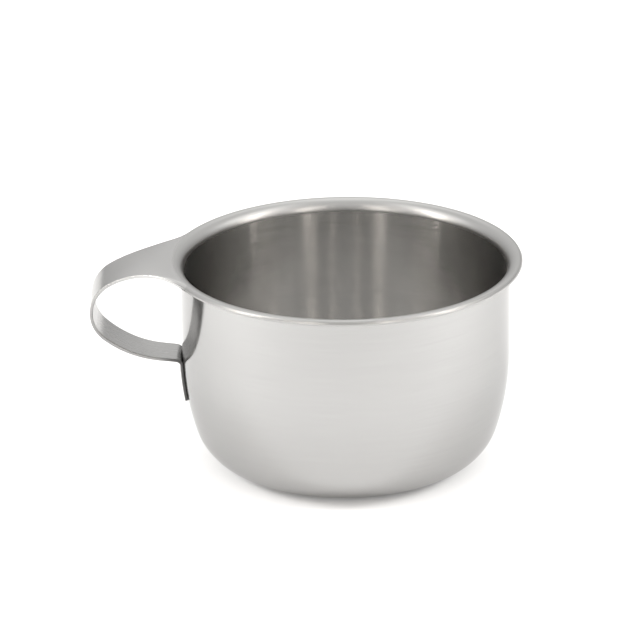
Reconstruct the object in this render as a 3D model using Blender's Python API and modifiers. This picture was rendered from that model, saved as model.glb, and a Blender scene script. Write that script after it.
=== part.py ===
"""Stainless-steel shaving mug: a deep-drawn bowl with a flared lip and a pressed strap handle.

The bowl's axis is +Z and its flat base rests on z = 0, with the origin at the base's centre.
The handle points along -X. A ground-flush weld seam joins the strap's fishtail end to the lip,
and two spot-weld nuggets join its lower tab to the wall. Nothing on the mug moves.
Lengths are in metres and angles in degrees, unless a name says otherwise.
"""

import math

import bmesh
import bpy

# Driving dimensions of the bowl, whose radii are those of the sheet's outer skin
HEIGHT = 0.0605
SHEET = 0.0008
WALL_RADIUS = 0.0464
BELLY_RADIUS = 0.077
BELLY_SWEEP = 17.5
CORNER_RADIUS = 0.0155
LIP_FLARE_RADIUS = 0.0025
LIP_ROLL_RADIUS = 0.0003

# Driving dimensions of the strap handle, whose radii are those of the sheet's middle
STRAP_SHEET = 0.0009
STRAP_BELOW_CROWN = 0.0005
BACK_RADIUS, BACK_SWEEP = 0.0295, 32.0
KNUCKLE_RADIUS, KNUCKLE_SWEEP = 0.0101, 107.5
PALM_RADIUS, PALM_SWEEP = 0.0294, 34.0
TAB_BEND_RADIUS = 0.0015
TAB_LENGTH = 0.0120
TAB_CORNER_RADIUS = 0.0035
STRAP_HALF_WIDTH = 0.0086
TAB_HALF_WIDTH = 0.0062
FISHTAIL_FILLET = 0.025

# Welds, and the gap that separates one solid from the next
GAP = 0.0003
SEAM_WIDTH = 0.0006
NUGGET_RADIUS = 0.0018
NUGGET_SPACING = 0.0056

# Mesh fineness
TURN_STEPS = 64
NUGGET_STEPS = 24
SEAM_STEPS = 24
STRAP_COLUMNS = 10
DEGREES_PER_POINT = 9.0
DEGREES_PER_LIP_POINT = 18.0
DEGREES_PER_STRAP_POINT = 6.0
DEGREES_PER_TAB_POINT = 0.6
RUN_PIECES = 4
SHARP_DEGREES = 35.0

# Sizes that follow from the dimensions above
BELLY_TURN = math.radians(BELLY_SWEEP)
CORNER_TURN = math.radians(90.0 - BELLY_SWEEP)
BELLY_DEPTH = BELLY_RADIUS * (1 - math.cos(BELLY_TURN))
BASE_RADIUS = WALL_RADIUS - BELLY_DEPTH - CORNER_RADIUS * math.sin(CORNER_TURN)
BELLY_TOP = CORNER_RADIUS * (1 - math.cos(CORNER_TURN)) + BELLY_RADIUS * math.sin(BELLY_TURN)
CROWN_RADIUS = WALL_RADIUS + LIP_FLARE_RADIUS
LIP_RADIUS = CROWN_RADIUS + LIP_ROLL_RADIUS + SHEET
SEAM_RADIUS = LIP_RADIUS + GAP
STRAP_START = SEAM_RADIUS + SEAM_WIDTH + GAP
TAB_ARC_RADIUS = BELLY_RADIUS + GAP + STRAP_SHEET / 2


class Path:
    """A flat outline drawn by moving and turning: its points, and its heading at each of them."""

    def __init__(self, across, up, heading, degrees_per_point):
        self.points = [(across, up)]
        self.headings = [heading]
        self.degrees_per_point = degrees_per_point

    def straight(self, length, pieces=1):
        across, up = self.points[-1]
        heading = self.headings[-1]
        turn = math.radians(heading)
        for piece in range(1, pieces + 1):
            moved = length * piece / pieces
            self.points.append((across + moved * math.cos(turn), up + moved * math.sin(turn)))
            self.headings.append(heading)

    def arc(self, radius, sweep):
        """Turns left by sweep degrees, or right if sweep is negative, on an arc of this radius."""
        across, up = self.points[-1]
        start = self.headings[-1]
        side = math.copysign(radius, sweep)
        centre_across = across - side * math.sin(math.radians(start))
        centre_up = up + side * math.cos(math.radians(start))
        steps = max(2, math.ceil(abs(sweep) / self.degrees_per_point))
        for step in range(1, steps + 1):
            heading = start + sweep * step / steps
            turn = math.radians(heading)
            point = (centre_across + side * math.sin(turn), centre_up - side * math.cos(turn))
            self.points.append(point)
            self.headings.append(heading)


def clear_scene():
    for old in list(bpy.data.objects):
        bpy.data.objects.remove(old, do_unlink=True)


def new_collection(name):
    made = bpy.data.collections.new(name)
    bpy.context.scene.collection.children.link(made)
    return made


def steel(name, colour, roughness):
    material = bpy.data.materials.new(name)
    material.use_nodes = True
    surface = material.node_tree.nodes["Principled BSDF"]
    surface.inputs["Base Color"].default_value = (*colour, 1.0)
    surface.inputs["Roughness"].default_value = roughness
    surface.inputs["Metallic"].default_value = 1.0
    return material


def new_object(name, mesh, collection, material=None):
    made = bpy.data.objects.new(name, mesh)
    collection.objects.link(made)
    if material:
        mesh.materials.append(material)
    return made


def mesh_from(shape, name):
    mesh = bpy.data.meshes.new(name)
    shape.to_mesh(mesh)
    shape.free()
    mesh.shade_smooth()
    mesh.set_sharp_from_angle(angle=math.radians(SHARP_DEGREES))
    return mesh


def add_sheet_thickness(target, thickness, offset):
    """Offset 0 keeps the surface in the middle of the sheet, and -1 keeps it as its outer skin."""
    sheet = target.modifiers.new("Sheet", "SOLIDIFY")
    sheet.thickness = thickness
    sheet.offset = offset
    sheet.use_even_offset = True


def bowl_outline():
    """The bowl's outer skin as (radius, height), from the lip's edge down to the base's centre."""
    skin = Path(0.0, 0.0, 0.0, DEGREES_PER_POINT)
    skin.straight(BASE_RADIUS)
    skin.arc(CORNER_RADIUS, 90.0 - BELLY_SWEEP)
    skin.arc(BELLY_RADIUS, BELLY_SWEEP)
    skin.straight(HEIGHT - SHEET - LIP_FLARE_RADIUS - BELLY_TOP)
    skin.degrees_per_point = DEGREES_PER_LIP_POINT
    skin.arc(LIP_FLARE_RADIUS, -90.0)
    skin.arc(LIP_ROLL_RADIUS, -90.0)
    return reversed(skin.points)


def make_bowl(collection, material):
    """One drawn sheet: flat base, round corner, wall bellied at its foot, and a flared lip."""
    shape = bmesh.new()
    corners = [shape.verts.new((radius, 0.0, up)) for radius, up in bowl_outline()]
    for first, second in zip(corners, corners[1:]):
        shape.edges.new((first, second))
    bowl = new_object("bowl", mesh_from(shape, "bowl"), collection, material)
    turn = bowl.modifiers.new("Turn", "SCREW")
    turn.steps = TURN_STEPS
    turn.render_steps = TURN_STEPS
    turn.use_merge_vertices = True
    turn.merge_threshold = 0.00001
    add_sheet_thickness(bowl, SHEET, -1.0)
    return bowl


def run_to_wall(path):
    """How far the path goes straight on before its bend starts, and where the bend meets the tab.

    The bend is tangent to the straight run and to the tab's arc, which has the belly's centre. The
    second value is the angle of that meeting point below the belly's top, in radians.
    """
    across, up = path.points[-1]
    heading = math.radians(path.headings[-1])
    to_centre = (WALL_RADIUS - BELLY_RADIUS - across, BELLY_TOP - up)
    orbit = TAB_ARC_RADIUS + TAB_BEND_RADIUS
    leftwards = to_centre[1] * math.cos(heading) - to_centre[0] * math.sin(heading)
    forwards = to_centre[0] * math.cos(heading) + to_centre[1] * math.sin(heading)
    meeting = -math.pi - math.asin((leftwards - TAB_BEND_RADIUS) / orbit) - heading
    return forwards + orbit * math.cos(heading + meeting), meeting


def strap_path():
    """The strap's middle seen from the side, as (distance from the axis, height).

    It leaves the lip level, runs over the finger and round the knuckle bend, comes back to the
    wall under the finger, and turns down to lie along the wall as a tab. Returned with it are the
    numbers of the bend's first and last points, and how far round the belly the tab begins.
    """
    path = Path(STRAP_START, HEIGHT - STRAP_BELOW_CROWN, 0.0, DEGREES_PER_STRAP_POINT)
    path.arc(BACK_RADIUS, -BACK_SWEEP)
    path.arc(KNUCKLE_RADIUS, -KNUCKLE_SWEEP)
    path.arc(PALM_RADIUS, -PALM_SWEEP)
    run, meeting = run_to_wall(path)
    path.straight(run, RUN_PIECES)
    bend_start = len(path.points) - 1
    path.arc(TAB_BEND_RADIUS, -90.0 - math.degrees(meeting) - path.headings[-1])
    bend_end = len(path.points) - 1
    path.degrees_per_point = DEGREES_PER_TAB_POINT
    path.arc(TAB_ARC_RADIUS, -math.degrees(TAB_LENGTH / TAB_ARC_RADIUS))
    return path.points, (bend_start, bend_end), meeting


def lengths_along(points):
    """How far along the line each point lies."""
    total = [0.0]
    for first, second in zip(points, points[1:]):
        total.append(total[-1] + math.dist(first, second))
    return total


def fishtail_fillet():
    """The edge fillet's centre seen from above, and the angle at the axis where it meets the lip.

    The fillet is tangent both to the circle on which the strap starts and to the strap's edge.
    """
    side = STRAP_HALF_WIDTH + FISHTAIL_FILLET
    reach = STRAP_START + FISHTAIL_FILLET
    angle = math.asin(side / reach)
    return reach * math.cos(angle), side, angle


def fishtail_row(along):
    """One cross line of the fishtail as (distance along the handle, distance aside).

    Its middle lies this far along. At the lip the line is an arc about the bowl's axis, and it
    straightens quickly towards the fillet's centre, where the strap's edges run parallel.
    """
    centre, side, angle = fishtail_fillet()
    still_to_go = (centre - along) / (centre - STRAP_START)
    edge_along = along - STRAP_START * (1 - math.cos(angle)) * still_to_go**2
    edge_aside = side - math.sqrt(FISHTAIL_FILLET**2 - (centre - edge_along) ** 2)
    row = []
    for column in range(STRAP_COLUMNS + 1):
        turn = angle * (2 * column / STRAP_COLUMNS - 1)
        bow = (1 - math.cos(turn)) / (1 - math.cos(angle))
        aside = edge_aside * math.sin(turn) / math.sin(angle)
        row.append((along + (edge_along - along) * bow, aside))
    return row


def half_width_at(length, taper_start, taper_end, total):
    """Half the strap's width this far along it: it tapers to the tab's, and the end is rounded."""
    taper = min(1.0, max(0.0, (length - taper_start) / (taper_end - taper_start)))
    half = STRAP_HALF_WIDTH + taper * (TAB_HALF_WIDTH - STRAP_HALF_WIDTH)
    into_corner = max(0.0, TAB_CORNER_RADIUS - (total - length))
    return half - TAB_CORNER_RADIUS + math.sqrt(TAB_CORNER_RADIUS**2 - into_corner**2)


def parallel_row(along, half, wrap):
    """One cross line past the fishtail. Wrap 0 leaves it straight, and 1 bends it round the wall."""
    row = []
    for column in range(STRAP_COLUMNS + 1):
        aside = half * (2 * column / STRAP_COLUMNS - 1)
        wrapped = math.sqrt(along**2 - aside**2)
        row.append((along + wrap * (wrapped - along), aside))
    return row


def strap_rows():
    """Every cross line of the strap's middle as world points, from the lip to the tab's end."""
    points, bend, _ = strap_path()
    lengths = lengths_along(points)
    fishtail_along = fishtail_fillet()[0]
    taper_start = next(s for s, point in zip(lengths, points) if point[0] >= fishtail_along)
    bend_start, bend_end = (lengths[number] for number in bend)
    rows = []
    for (along, up), length in zip(points, lengths):
        if length < taper_start:
            flat = fishtail_row(along)
        else:
            half = half_width_at(length, taper_start, bend_start, lengths[-1])
            wrap = min(1.0, max(0.0, (length - bend_start) / (bend_end - bend_start)))
            flat = parallel_row(along, half, wrap)
        rows.append([(-reach, aside, up) for reach, aside in flat])
    return rows


def make_handle(collection, material, cutters):
    """One pressed strap: a fishtail at the lip, a finger loop, and a tab that hugs the wall."""
    shape = bmesh.new()
    grid = [[shape.verts.new(point) for point in row] for row in strap_rows()]
    for row, following in zip(grid, grid[1:]):
        for column in range(STRAP_COLUMNS):
            shape.faces.new(
                (row[column], row[column + 1], following[column + 1], following[column])
            )
    handle = new_object("handle", mesh_from(shape, "handle"), collection, material)
    add_sheet_thickness(handle, STRAP_SHEET, 0.0)
    for cutter in cutters:
        hole = handle.modifiers.new("Nugget hole", "BOOLEAN")
        hole.operation = "DIFFERENCE"
        hole.object = cutter
    return handle


def make_rim_weld(collection, material):
    """The filler metal between lip and fishtail: a flat ring sector about the bowl's axis."""
    outline = []
    half_turn = fishtail_fillet()[2]
    for radius, direction in ((SEAM_RADIUS, 1), (SEAM_RADIUS + SEAM_WIDTH, -1)):
        for step in range(SEAM_STEPS + 1):
            turn = math.pi + direction * half_turn * (2 * step / SEAM_STEPS - 1)
            outline.append((radius * math.cos(turn), radius * math.sin(turn), 0.0, 1.0))
    curve = bpy.data.curves.new("rim_weld", "CURVE")
    curve.dimensions = "2D"
    curve.fill_mode = "BOTH"
    curve.extrude = STRAP_SHEET / 2
    spline = curve.splines.new("POLY")
    spline.points.add(len(outline) - 1)
    for point, place in zip(spline.points, outline):
        point.co = place
    spline.use_cyclic_u = True
    seam = new_object("rim_weld", curve, collection, material)
    seam.location.z = HEIGHT - STRAP_BELOW_CROWN
    return seam


def place_on_tab(target, along_tab):
    """Puts a round piece in the tab's middle, its axis square to the wall, this far down the tab."""
    tab_turn = strap_path()[2]
    turn = tab_turn + along_tab / TAB_ARC_RADIUS
    across = WALL_RADIUS - BELLY_RADIUS + TAB_ARC_RADIUS * math.cos(turn)
    target.location = (-across, 0.0, BELLY_TOP - TAB_ARC_RADIUS * math.sin(turn))
    target.rotation_euler.y = -(math.pi / 2 + turn)


def make_disc(name, radius, depth, along_tab, collection, material=None):
    """A closed cylinder set into the tab, for a nugget or for the hole round one."""
    shape = bmesh.new()
    bmesh.ops.create_cone(
        shape,
        cap_ends=True,
        segments=NUGGET_STEPS,
        radius1=radius,
        radius2=radius,
        depth=depth,
    )
    disc = new_object(name, mesh_from(shape, name), collection, material)
    place_on_tab(disc, along_tab)
    return disc


def make_nugget_hole(name, along_tab, cutters):
    """A cutter that clears the tab for one nugget."""
    hole = make_disc(name, NUGGET_RADIUS + GAP, 3 * STRAP_SHEET, along_tab, cutters)
    hole.hide_render = True
    hole.display_type = "WIRE"
    return hole


def main():
    clear_scene()
    mug = new_collection("shaving_mug")
    cutters = new_collection("cutters")
    polished = steel("polished_steel", (0.62, 0.61, 0.60), 0.16)
    brushed = steel("brushed_steel", (0.58, 0.57, 0.56), 0.28)
    weld = steel("weld_steel", (0.52, 0.51, 0.50), 0.34)
    make_bowl(mug, polished)
    make_rim_weld(mug, weld)
    holes = []
    for place, side in (("upper", -1), ("lower", 1)):
        along_tab = (TAB_LENGTH + side * NUGGET_SPACING) / 2
        make_disc(f"tab_weld_{place}", NUGGET_RADIUS, STRAP_SHEET, along_tab, mug, weld)
        holes.append(make_nugget_hole(f"{place}_nugget_hole", along_tab, cutters))
    make_handle(mug, brushed, holes)


main()
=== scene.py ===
"""Shaving mug: the fine visual model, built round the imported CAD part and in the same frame.

Lengths are in metres and angles in degrees, unless a name says otherwise. The bowl's axis is +Z,
its base rests on z = 0, and the handle points along -X.
"""

import math

import bmesh
import bpy
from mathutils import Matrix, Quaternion, Vector


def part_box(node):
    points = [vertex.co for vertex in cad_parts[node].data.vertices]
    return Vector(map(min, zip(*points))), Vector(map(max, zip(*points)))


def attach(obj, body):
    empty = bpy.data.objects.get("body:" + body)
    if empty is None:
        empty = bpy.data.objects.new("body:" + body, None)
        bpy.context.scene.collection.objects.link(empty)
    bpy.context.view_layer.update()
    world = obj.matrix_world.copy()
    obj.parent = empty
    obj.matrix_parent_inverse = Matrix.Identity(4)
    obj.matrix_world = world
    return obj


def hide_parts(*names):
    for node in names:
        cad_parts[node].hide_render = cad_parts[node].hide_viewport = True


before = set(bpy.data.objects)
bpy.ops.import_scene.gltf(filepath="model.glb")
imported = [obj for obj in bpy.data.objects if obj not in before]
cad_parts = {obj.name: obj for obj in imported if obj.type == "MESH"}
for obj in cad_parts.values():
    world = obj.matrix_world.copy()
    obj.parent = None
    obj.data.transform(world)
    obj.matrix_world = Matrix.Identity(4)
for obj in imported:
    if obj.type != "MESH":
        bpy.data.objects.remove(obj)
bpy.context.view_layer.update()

# Sizes read from the CAD part
BOWL_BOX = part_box("bowl")
LIP_RADIUS = BOWL_BOX[1][0]
HEIGHT = BOWL_BOX[1][2]

# The bowl, whose radii are those of the sheet's outer skin
SHEET = 0.0008
WALL_RADIUS = LIP_RADIUS - 0.0036
BELLY_RADIUS, BELLY_SWEEP = 0.077, 17.5
CORNER_RADIUS = 0.0155
LIP_FLARE_RADIUS = 0.0025
LIP_ROLL_RADIUS = 0.0003

# The strap, whose radii are those of the sheet's middle
STRAP_SHEET = 0.0009
STRAP_START_IN_CROWN = 0.00025
STRAP_LEVEL_PAST_LIP = 0.0012
BACK_RADIUS, BACK_SWEEP = 0.0295, 32.0
KNUCKLE_RADIUS, KNUCKLE_SWEEP = 0.0101, 107.5
PALM_RADIUS, PALM_SWEEP = 0.0294, 34.0
TAB_BEND_RADIUS = 0.0015
TAB_LENGTH = 0.0120
TAB_CORNER_RADIUS = 0.0035
TAB_CLEARANCE = 0.00003
STRAP_HALF_WIDTH = 0.0086
TAB_HALF_WIDTH = 0.0062
FISHTAIL_FILLET = 0.025
STRAP_EDGE = 0.00028
WELDED_THICKNESS = 0.0015
WELD_FADE = 0.0060

# Welds
BEAD_RADIUS = 0.00050
BEAD_RIPPLE = 0.06
BEAD_RIPPLE_PITCH = 0.0008
BEAD_IN_CROWN = 0.0003
BEAD_BELOW_TOP = 0.00125
BEAD_ENDS_EARLY = 1.5
BEAD_END_SHARPNESS = 10
BEAD_THINNEST = 0.05
NUGGET_RADIUS = 0.0018

# The print of a spot weld, from its dished middle out over a low ridge and down into the tab. Each
# ring is (share of the nugget's radius, height above the tab's face).
NUGGET_PRINT = (
    (0.35, 0.000005),
    (0.60, 0.000010),
    (0.74, 0.000030),
    (0.84, 0.000062),
    (0.91, 0.000070),
    (0.97, 0.000050),
    (1.03, 0.000010),
    (1.06, -0.00020),
)

# Brush lines, smudges and wear, and painted shade on the strap. Each noise is (scale, detail).
FINE_LINES = (5200.0, 3.0)
BROAD_LINES = (900.0, 2.0)
FINE_SHARE = 0.75
STRAP_STROKE_SHRINK = 0.02
BOWL_STROKE_RADIUS = 0.0006
SMALLEST_RADIUS = 0.0001
BRUSH_DEPTH = 0.00002
BRUSH_BUMP = 0.1
QUARTER_TURN = 0.25
NOISE_RANGE = (0.3, 0.7)
SMUDGES = (45.0, 4.0)
SMUDGE_HAZE = 0.02
SMUDGE_TONE = 0.985
SMUDGE_RANGE = (0.35, 0.65)
MATT_HEIGHTS = (0.10, 0.40)
MATT_ROUGHNESS = 0.35
MATT_ANISOTROPY = 0.1
# The tone and roughness where the strap's mask is full: its dark sheared edges, and painted shade at
# the tab and under its top.
EDGE_AND_SHADE_TONE = 0.20
EDGE_ROUGHNESS = 0.20
PLAIN_EDGE = 0.55
# Painted shade on the strap's inner face under its top: darkest by the lip, gone by the middle of the
# strap.
UNDERSIDE_PAINTED_SHADE = 0.65
# Painted shade on the strap's edges, over this reach before the bend into the tab.
TAB_SHADE_REACH = 0.006

# Mesh fineness
TURN_STEPS = 288
POINT_SPACING = 0.0005
BASE_SPACING = 0.002
WALL_SPACING = 0.001
FLARE_SPACING = 0.0002
ROLL_SPACING = 0.0001
LEVEL_SPACING = 0.00012
MOST_TURN = 9.0
LIP_EDGE_STEPS = 12
STRAP_COLUMNS = 28
STRAP_EDGE_STEPS = 5
TAB_CORNER_STEPS = 14
BEAD_STEPS, BEAD_SIDES = 240, 14
NUGGET_SIDES = 48
SHARP_DEGREES = 40.0
# The strap's mask: its dark sheared edges, and painted shade at the tab and under its top.
EDGE_AND_SHADE_MASK = "sheared_edge_and_painted_shade"

# Floor and the low lights beside it
FLOOR_HALF_SIZE = 3.0
FLOOR_DROP = 0.00005
FLOOR_TONE = 0.80
FLOOR_GLOW = 0.12
SIDE_LIGHT_REACH = 0.42
SIDE_LIGHT_FORWARD = 0.05
SIDE_LIGHT_HEIGHT = 0.26
SIDE_LIGHT_SIZE = 0.15
SIDE_LIGHT_POWER = 1.2
SIDE_LIGHT_TILT = 35.0

# The studio's own light brightens from the camera's side to the back, and away from the camera it
# is weaker near the horizon. Depths are angles, from -90 at the camera's side to 90 at the back.
CAMERA_SIDE_LIGHT, STUDIO_LIGHT = 0.38, 1.0
BRIGHTENING_DEPTHS = (-95.0, -25.0)
HORIZON_SHARE = 0.5
HORIZON_TOP = 25.0
HORIZON_DEPTHS = (-60.0, 0.0)

# Each light is (azimuth, elevation, half width, half height) in degrees, then its brightness.
# Azimuth 0 is behind the mug, along +Y, and 90 is to its right, along +X.
SOFTBOXES = (
    (0.0, 62.0, 24.0, 24.0, 0.8),
    (-100.0, 48.0, 20.0, 26.0, 1.1),
    (96.0, 48.0, 20.0, 26.0, 1.1),
)
WARM_STRIPS = (
    (-112.0, 22.0, 2.2, 24.0, 12.0),
    (112.0, 22.0, 2.2, 24.0, 10.0),
    (-154.0, 22.0, 1.4, 24.0, 11.0),
    (153.0, 22.0, 1.4, 24.0, 11.0),
)
LIGHT_SOFTNESS = 0.3
SOFTBOX_COLOUR = (1.0, 0.995, 0.985, 1.0)
WARM_COLOUR = (1.0, 0.93, 0.86, 1.0)
WHITE = (1.0, 1.0, 1.0, 1.0)
BLACK = (0.0, 0.0, 0.0, 1.0)
LIGHT_BOUNCES = 16
MIRROR_BOUNCES = 12

# The camera stands back like a long studio lens, and its elevation is seen from the base's centre
CAMERA_DISTANCE = 1.8
CAMERA_ELEVATION = 22.6
CAMERA_LENS = 355.1
CAMERA_AIM = (-0.00734, 0.01487, 0.03574)
CAMERA_ROLL = -0.63
CAMERA_SENSOR = 36.0
CAMERA_NEAR, CAMERA_FAR = 0.1, 20.0

# Sizes that follow from those above
BELLY_TURN = math.radians(BELLY_SWEEP)
CORNER_TURN = math.radians(90.0 - BELLY_SWEEP)
BELLY_DEPTH = BELLY_RADIUS * (1 - math.cos(BELLY_TURN))
BASE_RADIUS = WALL_RADIUS - BELLY_DEPTH - CORNER_RADIUS * math.sin(CORNER_TURN)
BELLY_TOP = CORNER_RADIUS * (1 - math.cos(CORNER_TURN)) + BELLY_RADIUS * math.sin(BELLY_TURN)
FLARE_TOP_RADIUS = LIP_FLARE_RADIUS + SHEET
ROLL_TOP_RADIUS = LIP_ROLL_RADIUS + SHEET
CROWN_RADIUS = WALL_RADIUS + LIP_FLARE_RADIUS
TAB_ARC_RADIUS = BELLY_RADIUS + TAB_CLEARANCE + STRAP_SHEET / 2
STRAP_START = CROWN_RADIUS - STRAP_START_IN_CROWN
STRAP_LEVEL_END = LIP_RADIUS + STRAP_LEVEL_PAST_LIP


# Outlines and meshes


class Path:
    """A flat outline drawn by moving and turning: its points, and its heading at each of them."""

    def __init__(self, across, up, heading=0.0):
        self.points = [(across, up)]
        self.headings = [heading]

    def straight(self, length, spacing=POINT_SPACING):
        across, up = self.points[-1]
        heading = self.headings[-1]
        turn = math.radians(heading)
        pieces = max(1, math.ceil(length / spacing))
        for piece in range(1, pieces + 1):
            moved = length * piece / pieces
            self.points.append((across + moved * math.cos(turn), up + moved * math.sin(turn)))
            self.headings.append(heading)

    def arc(self, radius, sweep, spacing=POINT_SPACING):
        """Turns left by sweep degrees, or right if sweep is negative, on an arc of this radius."""
        across, up = self.points[-1]
        start = self.headings[-1]
        side = math.copysign(radius, sweep)
        centre_across = across - side * math.sin(math.radians(start))
        centre_up = up + side * math.cos(math.radians(start))
        length = radius * math.radians(abs(sweep))
        steps = max(1, math.ceil(length / spacing), math.ceil(abs(sweep) / MOST_TURN))
        for step in range(1, steps + 1):
            heading = start + sweep * step / steps
            turn = math.radians(heading)
            point = (centre_across + side * math.sin(turn), centre_up - side * math.cos(turn))
            self.points.append(point)
            self.headings.append(heading)

    def offset(self, distance):
        """The outline's points moved to its left by this distance."""
        moved = []
        for (across, up), heading in zip(self.points, self.headings):
            turn = math.radians(heading)
            moved.append((across - distance * math.sin(turn), up + distance * math.cos(turn)))
        return moved

    def lengths(self):
        """How far along the outline each point lies."""
        total = [0.0]
        for first, second in zip(self.points, self.points[1:]):
            total.append(total[-1] + math.dist(first, second))
        return total


def smooth_step(value):
    value = min(1.0, max(0.0, value))
    return value * value * (3 - 2 * value)


def mix(first, second, share):
    return first + (second - first) * share


def circle_inset(radius, distance):
    """How far a circle drops away from its tangent at this distance from where they touch."""
    return radius - math.sqrt(radius**2 - distance**2)


def finish_mesh(shape, name, materials):
    """Turns a bmesh into a smooth-shaded piece that rides on the mug's one body."""
    bmesh.ops.recalc_face_normals(shape, faces=shape.faces)
    mesh = bpy.data.meshes.new(name)
    shape.to_mesh(mesh)
    shape.free()
    for material in materials:
        mesh.materials.append(material)
    mesh.shade_smooth()
    mesh.set_sharp_from_angle(angle=math.radians(SHARP_DEGREES))
    piece = bpy.data.objects.new(name, mesh)
    bpy.context.scene.collection.objects.link(piece)
    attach(piece, "root")
    return piece


def bridge(shape, first, second, material=0, stripe=range(0), stripe_material=0):
    """Joins two closed loops of the same length with quads, with a stripe of another material."""
    for number in range(len(first)):
        after = (number + 1) % len(first)
        face = shape.faces.new((first[number], first[after], second[after], second[number]))
        face.material_index = stripe_material if number in stripe else material


def tube(shape, rings):
    """Bridges each closed loop to the next and closes both ends."""
    for first, second in zip(rings, rings[1:]):
        bridge(shape, first, second)
    shape.faces.new(rings[0])
    shape.faces.new(rings[-1])


def turned_mesh(outline, material_of):
    """Turns an outline of (radius, height) about +Z. Its two ends lie on the axis."""
    shape = bmesh.new()
    rings = []
    for radius, up in outline[1:-1]:
        ring = []
        for step in range(TURN_STEPS):
            turn = 2 * math.pi * step / TURN_STEPS
            ring.append(shape.verts.new((radius * math.cos(turn), radius * math.sin(turn), up)))
        rings.append(ring)
    for number, (first, second) in enumerate(zip(rings, rings[1:])):
        bridge(shape, first, second, material_of(number + 1))
    for ring, (_, up), number in ((rings[0], outline[0], 0), (rings[-1], outline[-1], len(rings))):
        centre = shape.verts.new((0.0, 0.0, up))
        for step in range(TURN_STEPS):
            face = shape.faces.new((ring[step], ring[(step + 1) % TURN_STEPS], centre))
            face.material_index = material_of(number)
    return shape


# The bowl


def bowl_skin():
    """The sheet's outer skin, from the base's middle to the lip's edge, and where the lip starts."""
    skin = Path(0.0, 0.0)
    skin.straight(BASE_RADIUS, BASE_SPACING)
    skin.arc(CORNER_RADIUS, 90.0 - BELLY_SWEEP)
    skin.arc(BELLY_RADIUS, BELLY_SWEEP, WALL_SPACING)
    skin.straight(HEIGHT - SHEET - LIP_FLARE_RADIUS - BELLY_TOP, WALL_SPACING)
    lip_start = len(skin.points) - 1
    skin.arc(LIP_FLARE_RADIUS, -90.0, FLARE_SPACING)
    skin.arc(LIP_ROLL_RADIUS, -90.0, ROLL_SPACING)
    return skin, lip_start


def lip_edge(across, up):
    """The points of the sheet's half-round edge, which starts here and runs under and outwards."""
    edge = []
    for step in range(1, LIP_EDGE_STEPS):
        turn = math.pi * (1 + step / LIP_EDGE_STEPS)
        edge.append((across + SHEET / 2 * (1 + math.cos(turn)), up + SHEET / 2 * math.sin(turn)))
    return edge


def make_bowl():
    """One drawn sheet with a rounded edge: base, corner, belly, wall, flared lip."""
    skin, lip_start = bowl_skin()
    outline = skin.points + lip_edge(*skin.points[-1])
    inside_start = len(outline) + len(skin.points) - 1 - lip_start
    outline += reversed(skin.offset(SHEET))

    def material_of(number):
        """0 for the outside, 1 for the lip and 2 for the inside."""
        if number < len(skin.points) - 1:
            return 0
        return 1 if number < inside_start else 2

    shape = turned_mesh(outline, material_of)
    bowl = finish_mesh(shape, "bowl_shell", [outside_steel(), lip_steel(), inside_steel()])
    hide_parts("bowl")


# The handle


def run_to_wall(path):
    """How far the path goes straight on before its bend starts, and where the bend meets the tab.

    The bend is tangent to the straight run and to the tab's arc, which has the belly's centre. The
    second value is the angle of that meeting point below the belly's top, in radians.
    """
    across, up = path.points[-1]
    heading = math.radians(path.headings[-1])
    to_centre = (WALL_RADIUS - BELLY_RADIUS - across, BELLY_TOP - up)
    orbit = TAB_ARC_RADIUS + TAB_BEND_RADIUS
    leftwards = to_centre[1] * math.cos(heading) - to_centre[0] * math.sin(heading)
    forwards = to_centre[0] * math.cos(heading) + to_centre[1] * math.sin(heading)
    meeting = -math.pi - math.asin((leftwards - TAB_BEND_RADIUS) / orbit) - heading
    return forwards + orbit * math.cos(heading + meeting), meeting


def strap_path():
    """The strap's middle seen from the side, with the numbers of the bend's first and last points."""
    path = Path(STRAP_START, HEIGHT - STRAP_SHEET / 2)
    path.straight(STRAP_LEVEL_END - STRAP_START, LEVEL_SPACING)
    path.arc(BACK_RADIUS, -BACK_SWEEP)
    path.arc(KNUCKLE_RADIUS, -KNUCKLE_SWEEP)
    path.arc(PALM_RADIUS, -PALM_SWEEP)
    run, meeting = run_to_wall(path)
    path.straight(run)
    bend_start = len(path.points) - 1
    path.arc(TAB_BEND_RADIUS, -90.0 - math.degrees(meeting) - path.headings[-1])
    bend_end = len(path.points) - 1
    path.arc(TAB_ARC_RADIUS, -math.degrees((TAB_LENGTH - TAB_CORNER_RADIUS) / TAB_ARC_RADIUS))
    for step in range(TAB_CORNER_STEPS):
        start = math.sin(math.pi / 2 * step / TAB_CORNER_STEPS)
        end = math.sin(math.pi / 2 * (step + 1) / TAB_CORNER_STEPS)
        moved = TAB_CORNER_RADIUS * (end - start)
        path.arc(TAB_ARC_RADIUS, -math.degrees(moved / TAB_ARC_RADIUS))
    return path, bend_start, bend_end


def fishtail_fillet():
    """The edge fillet's centre seen from above, and the angle at the axis where it meets the lip."""
    side = STRAP_HALF_WIDTH + FISHTAIL_FILLET
    reach = LIP_RADIUS + FISHTAIL_FILLET
    angle = math.asin(side / reach)
    return reach * math.cos(angle), side, angle


def fishtail_edge(along):
    """The edge point (along, aside) of the cross line whose middle lies this far along, and the
    direction from that point into the strap."""
    centre, side, angle = fishtail_fillet()
    still_to_go = (centre - along) / (centre - STRAP_START)
    edge_along = along - (STRAP_START - LIP_RADIUS * math.cos(angle)) * still_to_go**2
    edge_aside = side - math.sqrt(FISHTAIL_FILLET**2 - (centre - edge_along) ** 2)
    inward = ((edge_along - centre) / FISHTAIL_FILLET, (edge_aside - side) / FISHTAIL_FILLET)
    return (edge_along, edge_aside), inward


def strap_half_width(taper, left):
    """Half the strap's width below the fishtail, where left is how far off the tab's end is."""
    half = mix(STRAP_HALF_WIDTH, TAB_HALF_WIDTH, smooth_step(taper))
    return half - circle_inset(TAB_CORNER_RADIUS, max(0.0, TAB_CORNER_RADIUS - left))


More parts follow.
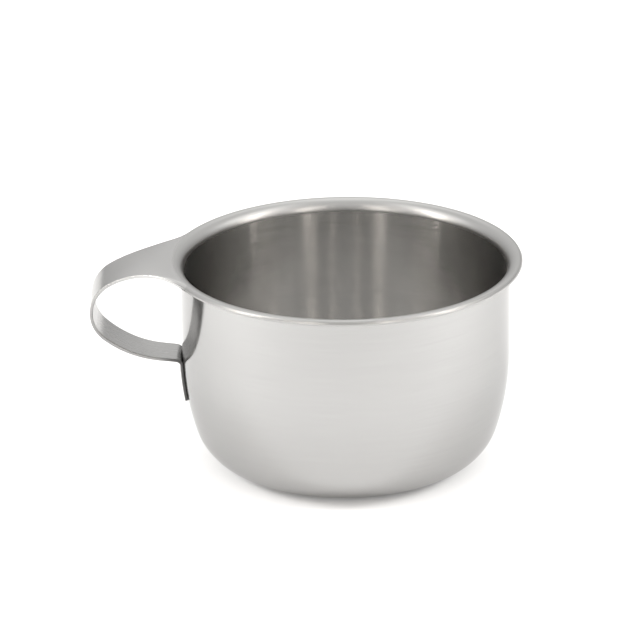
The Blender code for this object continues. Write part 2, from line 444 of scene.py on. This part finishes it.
def cross_line(along, end):
    """Points across the strap from -end to +end, bowed like the lip where end lies nearer it."""
    angle = fishtail_fillet()[2]
    line = []
    for column in range(STRAP_COLUMNS + 1):
        turn = angle * (2 * column / STRAP_COLUMNS - 1)
        bow = (1 - math.cos(turn)) / (1 - math.cos(angle))
        line.append((mix(along, end[0], bow), end[1] * math.sin(turn) / math.sin(angle)))
    return line


def section_loop(along, edge, inward, welded, end_inset):
    """One closed cross-section as (along, aside, depth below the strap's outer face, edge share).

    The edge share is 1 on the strap's sheared side, 0 on its outer face and None on its inner one.
    welded is 1 at the lip's seam and 0 where the strap is plain sheet.
    """
    round_over = mix(STRAP_EDGE, ROLL_TOP_RADIUS, welded)
    bottom = mix(STRAP_SHEET, WELDED_THICKNESS, welded) - end_inset

    def inside(distance):
        return edge[0] + inward[0] * distance, edge[1] + inward[1] * distance

    half = []
    for step in range(1, STRAP_EDGE_STEPS + 1):
        turn = math.pi / 2 * step / STRAP_EDGE_STEPS
        place = inside(round_over * (1 - math.sin(turn)))
        half.append((*place, end_inset + round_over * (1 - math.cos(turn)), math.sin(turn)))
    for step in range(STRAP_EDGE_STEPS):
        turn = math.pi / 2 * step / STRAP_EDGE_STEPS
        place = inside(STRAP_EDGE * (1 - math.cos(turn)))
        half.append((*place, bottom - STRAP_EDGE * (1 - math.sin(turn)), math.cos(turn)))
    top = [(*point, end_inset, 0.0) for point in cross_line(along, inside(round_over))]
    under = [(*point, bottom, None) for point in cross_line(along, inside(STRAP_EDGE))]
    far = [(reach, -aside, depth, share) for reach, aside, depth, share in half]
    return top + half + under[::-1] + far[::-1]


def flare_drop(radius):
    """How far the lip's top skin lies below its crown, inside the crown's circle."""
    return circle_inset(FLARE_TOP_RADIUS, max(0.0, CROWN_RADIUS - radius))


def edge_darkness_and_tab_shade(length, knuckle, bend):
    """How dark the sheared edge is: polished by the lip and plain by the finger.

    By the tab it turns wholly dark, as painted shade where the strap meets the wall.
    """
    plain = PLAIN_EDGE * smooth_step(length / knuckle)
    return mix(plain, 1.0, smooth_step((length - bend + TAB_SHADE_REACH) / TAB_SHADE_REACH))


def in_space(place, up, heading, wrap):
    """The world point of a section point. At wrap 1 its section curves round the bowl's axis."""
    along, aside, depth = place
    turn = math.radians(heading)
    rise = STRAP_SHEET / 2 - depth
    swing = wrap * math.asin(aside / along)
    wrapped = mix(along, math.sqrt(along**2 - aside**2), wrap)
    x = wrapped - math.sin(turn) * rise * math.cos(swing)
    y = aside - math.sin(turn) * rise * math.sin(swing)
    return x, y, up + math.cos(turn) * rise


def strap_loops():
    """Every closed cross-section of the strap, from the lip to the tab's end.

    Each is a list of (world point, share of the dark mask). The mask darkens the sheared edge, and
    paints shade on it at the tab and on the inner face under the top of the strap.
    """
    path, bend_start, bend_end = strap_path()
    lengths = path.lengths()
    fishtail_along = fishtail_fillet()[0]
    taper_start = next(length for length, point in zip(lengths, path.points)
                       if point[0] >= fishtail_along)
    bend = lengths[bend_start]
    knuckle = lengths[-1] / 2
    loops = []
    for (along, up), heading, length in zip(path.points, path.headings, lengths):
        left = lengths[-1] - length
        if length < taper_start:
            edge, inward = fishtail_edge(along)
        else:
            half_width = strap_half_width((length - taper_start) / (bend - taper_start), left)
            edge, inward = (along, half_width), (0.0, -1.0)
        end_inset = circle_inset(STRAP_EDGE, max(0.0, STRAP_EDGE - left))
        section = section_loop(along, edge, inward, 1 - smooth_step(length / WELD_FADE), end_inset)
        wrap = smooth_step((length - bend) / (lengths[bend_end] - bend))
        # The edges' own tone, and painted shade on them where the tab meets the wall.
        edge_tone_and_tab_shade = edge_darkness_and_tab_shade(length, knuckle, bend)
        # Painted shade on the inner face, under the top of the strap.
        underside_shade = UNDERSIDE_PAINTED_SHADE * (1 - smooth_step(length / knuckle))
        loop = []
        for *place, share in section:
            x, y, z = in_space(place, up, heading, wrap)
            if along < CROWN_RADIUS and length < WELD_FADE:
                z -= flare_drop(math.hypot(x, y))
            loop.append(((-x, y, z), underside_shade if share is None else share * edge_tone_and_tab_shade))
        loops.append(loop)
    return loops


def close_section(shape, ring):
    """Closes the strap's end with quads from face to face, which follow its bow, and two sides."""
    under_start = STRAP_COLUMNS + 1 + 2 * STRAP_EDGE_STEPS
    under_end = under_start + STRAP_COLUMNS + 1
    top = ring[:STRAP_COLUMNS + 1]
    under = ring[under_start:under_end][::-1]
    for column in range(STRAP_COLUMNS):
        shape.faces.new((top[column], top[column + 1], under[column + 1], under[column]))
    shape.faces.new(ring[STRAP_COLUMNS:under_start + 1])
    shape.faces.new(ring[under_end - 1:] + ring[:1])


def make_handle():
    """One pressed strap: a fishtail that flows out of the lip, a finger loop and a tab."""
    shape = bmesh.new()
    edge_and_shade_layer = shape.verts.layers.float.new(EDGE_AND_SHADE_MASK)
    rings = []
    for loop in strap_loops():
        ring = []
        for point, share in loop:
            corner = shape.verts.new(point)
            corner[edge_and_shade_layer] = share
            ring.append(corner)
        rings.append(ring)
    under_start = STRAP_COLUMNS + 2 * STRAP_EDGE_STEPS
    under = range(under_start, under_start + STRAP_COLUMNS + 2)
    for first, second in zip(rings, rings[1:]):
        bridge(shape, first, second, stripe=under, stripe_material=1)
    close_section(shape, rings[0])
    close_section(shape, rings[-1])
    handle = finish_mesh(shape, "strap_handle", [strap_steel(), strap_inner_steel()])
    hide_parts("handle")


# The welds


def make_rim_bead(material):
    """The seam's bead, under the strap where it can't be ground: a rippled tube along the lip."""
    shape = bmesh.new()
    half_turn = fishtail_fillet()[2] - math.radians(BEAD_ENDS_EARLY)
    reach = CROWN_RADIUS - BEAD_IN_CROWN
    rings = []
    for step in range(BEAD_STEPS + 1):
        share = 2 * step / BEAD_STEPS - 1
        turn = half_turn * share
        fade = math.sqrt(1 - abs(share) ** BEAD_END_SHARPNESS)
        ripple = 1 + BEAD_RIPPLE * math.sin(2 * math.pi * turn * reach / BEAD_RIPPLE_PITCH)
        radius = BEAD_RADIUS * max(BEAD_THINNEST, fade) * ripple
        ring = []
        for side in range(BEAD_SIDES):
            around = 2 * math.pi * side / BEAD_SIDES
            out = reach + radius * math.cos(around)
            up = HEIGHT - BEAD_BELOW_TOP + radius * math.sin(around)
            ring.append(shape.verts.new((-out * math.cos(turn), out * math.sin(turn), up)))
        rings.append(ring)
    tube(shape, rings)
    bead = finish_mesh(shape, "rim_weld_bead", [material])
    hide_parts("rim_weld")


def make_nugget(node, material):
    """A spot weld's print, curved with the tab's outer face."""
    low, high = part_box(node)
    centre_up = (low[2] + high[2]) / 2
    below_belly = math.asin((BELLY_TOP - centre_up) / TAB_ARC_RADIUS)
    out = Vector((-math.cos(below_belly), 0.0, -math.sin(below_belly)))
    face_radius = TAB_ARC_RADIUS + STRAP_SHEET / 2
    shape = bmesh.new()
    rings = []
    for share, proud in NUGGET_PRINT:
        ring = []
        for side in range(NUGGET_SIDES):
            around = 2 * math.pi * side / NUGGET_SIDES
            aside = NUGGET_RADIUS * share * math.sin(around)
            turn = below_belly + NUGGET_RADIUS * share * math.cos(around) / face_radius
            reach = WALL_RADIUS - BELLY_RADIUS + face_radius * math.cos(turn)
            up = BELLY_TOP - face_radius * math.sin(turn)
            point = Vector((-math.sqrt(reach**2 - aside**2), aside, up)) + out * proud
            ring.append(shape.verts.new(point))
        rings.append(ring)
    tube(shape, rings)
    nugget = finish_mesh(shape, node + "_print", [material])
    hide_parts(node)


# Materials


class Nodes:
    """A short way to write shader nodes: each call adds one and returns one of its outputs."""

    def __init__(self, tree):
        self.tree = tree
        tree.nodes.clear()

    def add(self, kind, inputs=None, output=0, **settings):
        node = self.tree.nodes.new(kind)
        for name, value in settings.items():
            setattr(node, name, value)
        for name, value in (inputs or {}).items():
            socket = node.inputs[name]
            if isinstance(value, bpy.types.NodeSocket):
                self.tree.links.new(value, socket)
            else:
                socket.default_value = value
        return node.outputs[output] if node.outputs else None

    def math(self, operation, first, second=0.0, third=0.0):
        return self.add("ShaderNodeMath", {0: first, 1: second, 2: third}, operation=operation)

    def spread(self, value, low, high, start=0.0, end=1.0, smooth=False):
        """Carries start..end to low..high, and holds those beyond."""
        kind = "SMOOTHSTEP" if smooth else "LINEAR"
        inputs = {"Value": value, "From Min": start, "From Max": end, "To Min": low, "To Max": high}
        return self.add("ShaderNodeMapRange", inputs, interpolation_type=kind)

    def noise(self, place, scale, detail):
        inputs = {"Vector": place, "Scale": scale, "Detail": detail}
        return self.add("ShaderNodeTexNoise", inputs)

    def darken(self, colour, tone):
        """The colour times a tone of 0..1. A mix takes colours at 6 and 7 and gives one at 2."""
        inputs = {0: tone, 6: BLACK, 7: (*colour, 1.0)}
        return self.add("ShaderNodeMix", inputs, output=2, data_type="RGBA")

    def split(self, vector):
        node = self.tree.nodes.new("ShaderNodeSeparateXYZ")
        self.tree.links.new(vector, node.inputs[0])
        return list(node.outputs)

    def join(self, x, y, z):
        return self.add("ShaderNodeCombineXYZ", {"X": x, "Y": y, "Z": z})


def strap_strokes(nodes, place):
    """Places for the noise that shrink along the strap, so that its lines run along it."""
    x, y, z = nodes.split(place)
    short_x = nodes.math("MULTIPLY", x, STRAP_STROKE_SHRINK)
    return nodes.join(short_x, y, nodes.math("MULTIPLY", z, STRAP_STROKE_SHRINK))


def bowl_strokes(nodes, place):
    """Places for the noise in which a whole turn is a tiny circle, so that its lines run round."""
    x, y, z = nodes.split(place)
    square = nodes.math("ADD", nodes.math("MULTIPLY", x, x), nodes.math("MULTIPLY", y, y))
    radius = nodes.math("MAXIMUM", nodes.math("SQRT", square), SMALLEST_RADIUS)
    circle_x = nodes.math("MULTIPLY", nodes.math("DIVIDE", x, radius), BOWL_STROKE_RADIUS)
    circle_y = nodes.math("MULTIPLY", nodes.math("DIVIDE", y, radius), BOWL_STROKE_RADIUS)
    return nodes.join(circle_x, circle_y, nodes.math("ADD", z, radius))


def brush_lines(nodes, strokes):
    """Fine lines, 0..1, drawn out along the strokes."""
    fine = nodes.noise(strokes, *FINE_LINES)
    broad = nodes.noise(strokes, *BROAD_LINES)
    fine_part = nodes.math("MULTIPLY", fine, FINE_SHARE)
    return nodes.math("MULTIPLY_ADD", broad, 1.0 - FINE_SHARE, fine_part)


def brushed_finish(nodes, place, brush, roughness, brushing, haze):
    """The roughness and the tone of metal with brush lines and smudges on it."""
    lines = nodes.spread(brush, -1.0, 1.0, *NOISE_RANGE)
    smudge = nodes.noise(place, *SMUDGES)
    rough = nodes.math("MULTIPLY_ADD", lines, haze, roughness)
    rough = nodes.math("ADD", rough, nodes.spread(smudge, -SMUDGE_HAZE, SMUDGE_HAZE, *NOISE_RANGE))
    tone = nodes.spread(lines, 1.0, 1.0 - brushing, -1.0, 1.0)
    tone = nodes.math("MULTIPLY", tone, nodes.spread(smudge, SMUDGE_TONE, 1.0, *SMUDGE_RANGE))
    return rough, tone


def near_base(nodes, place):
    """1 at the bottom of the bowl and 0 further up."""
    start, end = (BELLY_TOP * share for share in MATT_HEIGHTS)
    return nodes.spread(nodes.split(place)[2], 1.0, 0.0, start, end, smooth=True)


def steel(name, colour, roughness, anisotropy, brushing, haze=0.03, edge_tint=1.0,
          along_strap=False, matt_base=False, edges_and_shade=False):
    """Stainless steel with fine brush lines, faint smudges and an uneven gloss.

    brushing is how far the lines darken the metal, haze is how far they change its roughness, and
    edge_tint dims the metal where it is seen at a grazing angle. With matt_base the metal turns
    matt towards the bottom of the bowl. With the strap's mask it is dark and rough where the mask
    says so: on the strap's sheared sides, which turn to painted shade at the tab, and as painted
    shade on the top end of the strap's inner face, under the strap.
    """
    material = bpy.data.materials.new(name)
    material.use_nodes = True
    nodes = Nodes(material.node_tree)
    place = nodes.add("ShaderNodeTexCoord", output="Object")
    strokes = strap_strokes(nodes, place) if along_strap else bowl_strokes(nodes, place)
    brush = brush_lines(nodes, strokes)
    rough, tone = brushed_finish(nodes, place, brush, roughness, brushing, haze)
    if matt_base:
        matt = near_base(nodes, place)
        rough = nodes.math("MULTIPLY_ADD", matt, MATT_ROUGHNESS, rough)
        anisotropy = nodes.spread(matt, anisotropy, MATT_ANISOTROPY)
    # The mask darkens the sheared edges, and paints shade on them at the tab and on the inner face
    # under the top of the strap.
    if edges_and_shade:
        edge = nodes.add("ShaderNodeAttribute", attribute_name=EDGE_AND_SHADE_MASK, output="Fac")
        rough = nodes.math("MULTIPLY_ADD", edge, EDGE_ROUGHNESS, rough)
        tone = nodes.math("MULTIPLY", tone, nodes.spread(edge, 1.0, EDGE_AND_SHADE_TONE))
    bump = {"Strength": BRUSH_BUMP, "Distance": BRUSH_DEPTH, "Height": brush}
    surface = nodes.add("ShaderNodeBsdfPrincipled", {
        "Base Color": nodes.darken(colour, tone),
        "Metallic": 1.0,
        "Roughness": rough,
        "Normal": nodes.add("ShaderNodeBump", bump),
        "Anisotropic": anisotropy,
        "Anisotropic Rotation": QUARTER_TURN,
        "Tangent": nodes.add("ShaderNodeTangent", direction_type="RADIAL", axis="Z"),
        "Specular Tint": (edge_tint, edge_tint, edge_tint, 1.0),
    })
    nodes.add("ShaderNodeOutputMaterial", {"Surface": surface})
    return material


def outside_steel():
    return steel("satin_steel_outside", (0.438, 0.435, 0.430), roughness=0.15, anisotropy=0.6,
                 brushing=0.045, edge_tint=0.82)


def lip_steel():
    return steel("satin_steel_lip", (0.43, 0.427, 0.42), roughness=0.33, anisotropy=0.2,
                 brushing=0.02)


def inside_steel():
    """Its sheen is strongly directional, and draws lights out into vertical streaks."""
    return steel("bright_steel_inside", (0.56, 0.553, 0.541), roughness=0.185, anisotropy=1.0,
                 brushing=0.02, matt_base=True)


def strap_steel():
    return steel("satin_steel_strap", (0.57, 0.566, 0.560), roughness=0.22, anisotropy=0.3,
                 brushing=0.03, edge_tint=0.8, along_strap=True, edges_and_shade=True)


def strap_inner_steel():
    return steel("dull_steel_strap_inner", (0.43, 0.427, 0.422), roughness=0.28, anisotropy=0.3,
                 brushing=0.02, haze=0.02, along_strap=True, edges_and_shade=True)


def weld_steel():
    return steel("weld_steel", (0.40, 0.39, 0.375), roughness=0.34, anisotropy=0.2,
                 brushing=0.06, haze=0.06)


# Stage


def floor_material():
    material = bpy.data.materials.new("pale_floor")
    material.use_nodes = True
    surface = material.node_tree.nodes["Principled BSDF"].inputs
    surface["Base Color"].default_value = (FLOOR_TONE, FLOOR_TONE, FLOOR_TONE, 1.0)
    surface["Roughness"].default_value = 1.0
    surface["Specular IOR Level"].default_value = 0.0
    surface["Emission Color"].default_value = WHITE
    surface["Emission Strength"].default_value = FLOOR_GLOW
    return material


def make_floor():
    """A pale light table: it glows a little, so it stays near white under the mug's shadow.

    It lies a hair below the base, so that the two don't share a plane.
    """
    shape = bmesh.new()
    bmesh.ops.create_grid(shape, x_segments=1, y_segments=1, size=FLOOR_HALF_SIZE)
    mesh = bpy.data.meshes.new("floor")
    shape.to_mesh(mesh)
    shape.free()
    mesh.materials.append(floor_material())
    floor = bpy.data.objects.new("floor", mesh)
    floor.location.z = -FLOOR_DROP
    bpy.context.scene.collection.objects.link(floor)


def make_side_lights():
    """Low lights on either side that whiten the floor; the steel sees only the pools they make."""
    for side in (-1, 1):
        light = bpy.data.lights.new("side_light", "AREA")
        light.size = SIDE_LIGHT_SIZE
        light.energy = SIDE_LIGHT_POWER
        lamp = bpy.data.objects.new("side_light", light)
        bpy.context.scene.collection.objects.link(lamp)
        lamp.location = (side * SIDE_LIGHT_REACH, -SIDE_LIGHT_FORWARD, SIDE_LIGHT_HEIGHT)
        lamp.rotation_euler = (0.0, side * math.radians(SIDE_LIGHT_TILT), 0.0)
        lamp.visible_glossy = False


def lit_area(nodes, azimuth, elevation, light):
    """The brightness that one soft-edged light adds in each direction."""
    at, up, half_width, half_height, brightness = light
    masks = []
    for value, middle, half in ((azimuth, at, half_width), (elevation, up, half_height)):
        away = nodes.math("ABSOLUTE", nodes.math("SUBTRACT", value, middle))
        fade_start, fade_end = half * (1 - LIGHT_SOFTNESS), half * (1 + LIGHT_SOFTNESS)
        masks.append(nodes.spread(away, 1.0, 0.0, fade_start, fade_end, smooth=True))
    return nodes.math("MULTIPLY", nodes.math("MULTIPLY", *masks), brightness)


def studio_light(nodes, elevation, depth):
    """The studio's own brightness, before any lamp is added."""
    light = nodes.spread(depth, CAMERA_SIDE_LIGHT, STUDIO_LIGHT, *BRIGHTENING_DEPTHS, smooth=True)
    low = nodes.spread(elevation, 1.0 - HORIZON_SHARE, 0.0, 0.0, HORIZON_TOP)
    low = nodes.math("MULTIPLY", low, nodes.spread(depth, 0.0, 1.0, *HORIZON_DEPTHS))
    return nodes.math("MULTIPLY", light, nodes.math("SUBTRACT", 1.0, low))


def make_world():
    """A pale studio that is darker round the camera. The camera itself sees plain white."""
    world = bpy.data.worlds.new("studio")
    bpy.context.scene.world = world
    world.use_nodes = True
    nodes = Nodes(world.node_tree)
    x, y, z = nodes.split(nodes.add("ShaderNodeTexCoord", output="Generated"))
    to_degrees = math.degrees(1.0)
    azimuth = nodes.math("MULTIPLY", nodes.math("ARCTAN2", x, y), to_degrees)
    elevation = nodes.math("MULTIPLY", nodes.math("ARCSINE", z), to_degrees)
    depth = nodes.math("MULTIPLY", nodes.math("ARCSINE", y), to_degrees)
    light = studio_light(nodes, elevation, depth)
    for softbox in SOFTBOXES:
        light = nodes.math("ADD", light, lit_area(nodes, azimuth, elevation, softbox))
    warm = 0.0
    for strip in WARM_STRIPS:
        warm = nodes.math("ADD", warm, lit_area(nodes, azimuth, elevation, strip))
    studio = nodes.add("ShaderNodeBackground", {"Color": SOFTBOX_COLOUR, "Strength": light})
    strips = nodes.add("ShaderNodeBackground", {"Color": WARM_COLOUR, "Strength": warm})
    both = nodes.add("ShaderNodeAddShader", {0: studio, 1: strips})
    white = nodes.add("ShaderNodeBackground", {"Color": WHITE, "Strength": 1.0})
    seen = nodes.add("ShaderNodeLightPath", output="Is Camera Ray")
    shown = nodes.add("ShaderNodeMixShader", {0: seen, 1: both, 2: white})
    nodes.add("ShaderNodeOutputWorld", {"Surface": shown})


def make_camera():
    camera = bpy.data.objects.new("camera", bpy.data.cameras.new("camera"))
    bpy.context.scene.collection.objects.link(camera)
    camera.data.lens = CAMERA_LENS
    camera.data.sensor_width = CAMERA_SENSOR
    camera.data.clip_start = CAMERA_NEAR
    camera.data.clip_end = CAMERA_FAR
    up = math.radians(CAMERA_ELEVATION)
    place = Vector((0.0, -math.cos(up), math.sin(up))) * CAMERA_DISTANCE
    camera.location = place
    camera.rotation_mode = "QUATERNION"
    aim = (Vector(CAMERA_AIM) - place).to_track_quat("-Z", "Y")
    roll = Quaternion((0.0, 0.0, 1.0), math.radians(CAMERA_ROLL))
    camera.rotation_quaternion = aim @ roll
    bpy.context.scene.camera = camera


def make_mug():
    make_bowl()
    make_handle()
    weld = weld_steel()
    make_rim_bead(weld)
    make_nugget("tab_weld_upper", weld)
    make_nugget("tab_weld_lower", weld)


def make_stage():
    make_floor()
    make_side_lights()
    make_world()
    make_camera()
    scene = bpy.context.scene
    scene.view_settings.view_transform = "Standard"
    scene.cycles.max_bounces = LIGHT_BOUNCES
    scene.cycles.glossy_bounces = MIRROR_BOUNCES


make_mug()
make_stage()
